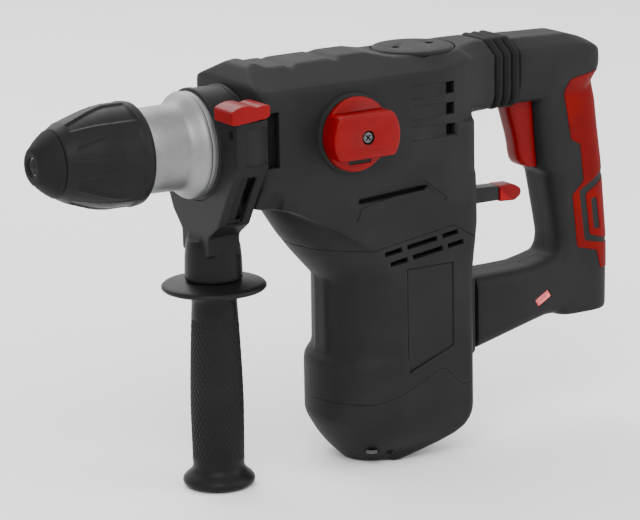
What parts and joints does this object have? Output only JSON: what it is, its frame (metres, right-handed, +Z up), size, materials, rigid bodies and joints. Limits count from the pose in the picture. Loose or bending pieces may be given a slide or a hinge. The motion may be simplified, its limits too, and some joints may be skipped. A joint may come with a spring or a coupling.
{
  "type": "rotary hammer",
  "caption": "Rotary hammer with upright motor, keyless chuck sleeve, swivelling side handle, side mode knob and damped D handle with trigger.",
  "frame": {"origin": "on the spindle axis at the mouth of the tool socket", "axes": "+X from the nose to the rear handle along the spindle axis, +Z up away from the motor, -Y towards the side with the mode knob"},
  "size_m": [0.4235, 0.105, 0.2724],
  "materials": {
    "black_plastic": "fine moulded texture",
    "black_grip": "satin moulded",
    "rubber": "matte",
    "cast_aluminium": "bead blasted",
    "steel": "ground",
    "red_plastic": "satin",
    "red_rubber": "soft overmould",
    "copper": "copper",
    "carbon": "carbon",
    "lamp": "red lens"
  },
  "bodies": {
    "housing": {"barrel": "cast_aluminium", "spindle_seal": "rubber", "gear_housing": "black_plastic", "upper_bearing_plate": "cast_aluminium", "lower_bearing_plate": "cast_aluminium", "spindle_bearings": "steel", "crank_bearings": "steel", "bevel_bearings": "steel", "motor_bearings": "steel", "oil_cap": "black_plastic", "oil_cap_seal": "rubber", "knob_bezel": "black_plastic", "motor_housing": "black_plastic", "label_plate": "black_plastic", "stator_core": "steel", "field_coils": "copper", "brush_holders": "copper", "carbon_brushes": "carbon", "motor_end_cap": "black_plastic", "end_cap_screws": "steel", "housing_screws": "steel", "bellows": "rubber", "damper_spring": "steel", "pivot_pin": "steel"},
    "spindle": {"spindle": "steel", "dust_cap": "rubber", "locking_balls": "steel", "spindle_gear": "steel", "chuck_spring": "steel"},
    "chuck_sleeve": {"chuck_sleeve": "black_grip"},
    "impact_bolt": {"impact_bolt": "steel"},
    "striker": {"striker": "steel"},
    "piston": {"piston": "cast_aluminium", "wrist_pin": "steel", "connecting_rod": "cast_aluminium"},
    "crank": {"crank_shaft": "steel", "crank_gear": "steel"},
    "bevel": {"bevel_shaft": "steel", "bevel_gear": "steel"},
    "armature": {"motor_shaft": "steel", "armature_core": "copper", "commutator": "copper", "cooling_fan": "black_plastic"},
    "mode_knob": {"mode_knob": "red_plastic", "mode_knob_screw": "steel"},
    "selector": {"selector_lever": "black_plastic", "selector_tip": "red_plastic"},
    "clamp": {"clamp_band": "black_grip", "clamp_yoke": "black_grip", "clamp_bolt": "steel"},
    "depth_button": {"depth_button": "red_plastic"},
    "side_grip": {"side_grip": "black_grip", "grip_nut": "steel"},
    "rear_handle": {"handle_left": "black_plastic", "handle_right": "black_plastic", "soft_grip": "red_rubber", "switch_body": "black_plastic", "power_lamp": "lamp", "cord_inlet": "rubber"},
    "trigger": {"trigger": "red_plastic"}
  },
  "joints": [
    {"name": "motor_spin", "type": "hinge", "parent": "housing", "child": "armature", "pos_m": [0.2435, 0, -0.13], "axis": [0, 0, 1], "continuous": true},
    {"name": "crank_spin", "type": "hinge", "parent": "housing", "child": "crank", "pos_m": [0.2205, 0, -0.04], "axis": [0, 0, 1], "continuous": true},
    {"name": "bevel_spin", "type": "hinge", "parent": "housing", "child": "bevel", "pos_m": [0.1905, 0, -0.04], "axis": [0, 0, 1], "continuous": true},
    {"name": "spindle_spin", "type": "hinge", "parent": "housing", "child": "spindle", "pos_m": [0.1, 0, 0], "axis": [1, 0, 0], "continuous": true},
    {"name": "sleeve_pull", "type": "slide", "parent": "spindle", "child": "chuck_sleeve", "axis": [1, 0, 0], "range_m": [0, 0.008], "stiffness_N_per_m": 2500, "springref_m": -0.004},
    {"name": "impact_bolt_slide", "type": "slide", "parent": "spindle", "child": "impact_bolt", "axis": [1, 0, 0], "range_m": [0, 0.006]},
    {"name": "striker_slide", "type": "slide", "parent": "spindle", "child": "striker", "axis": [1, 0, 0], "range_m": [0, 0.01]},
    {"name": "piston_slide", "type": "slide", "parent": "housing", "child": "piston", "axis": [1, 0, 0], "range_m": [0, 0.014]},
    {"name": "mode_turn", "type": "hinge", "parent": "housing", "child": "mode_knob", "pos_m": [0.201, -0.05, 0.0027], "axis": [0, -1, 0], "range_deg": [-90, 90]},
    {"name": "selector_swing", "type": "hinge", "parent": "housing", "child": "selector", "pos_m": [0.285, -0.016, -0.056], "axis": [0, 0, 1], "range_deg": [-15, 15]},
    {"name": "clamp_swivel", "type": "hinge", "parent": "housing", "child": "clamp", "pos_m": [0.121, 0, 0], "axis": [1, 0, 0], "continuous": true},
    {"name": "grip_screw", "type": "hinge", "parent": "clamp", "child": "side_grip", "pos_m": [0.1225, 0, -0.15], "axis": [0, 0, -1], "continuous": true},
    {"name": "depth_button_press", "type": "slide", "parent": "clamp", "child": "depth_button", "axis": [0, 0, -1], "range_m": [0, 0.002], "stiffness_N_per_m": 1500, "springref_m": -0.002},
    {"name": "handle_damping", "type": "hinge", "parent": "housing", "child": "rear_handle", "pos_m": [0.318, 0, -0.137], "axis": [0, 1, 0], "range_deg": [-1, 1], "stiffness_Nm_per_rad": 400},
    {"name": "trigger_press", "type": "hinge", "parent": "rear_handle", "child": "trigger", "pos_m": [0.3675, 0, -0.005], "axis": [0, -1, 0], "range_deg": [0, 6], "stiffness_Nm_per_rad": 3, "springref_deg": -3.44}
  ],
  "couplings": [
    {"joint": "crank_spin", "follows": "motor_spin", "ratio": -0.24324},
    {"joint": "bevel_spin", "follows": "motor_spin", "ratio": 0.3913},
    {"joint": "spindle_spin", "follows": "motor_spin", "ratio": 0.13043}
  ]
}
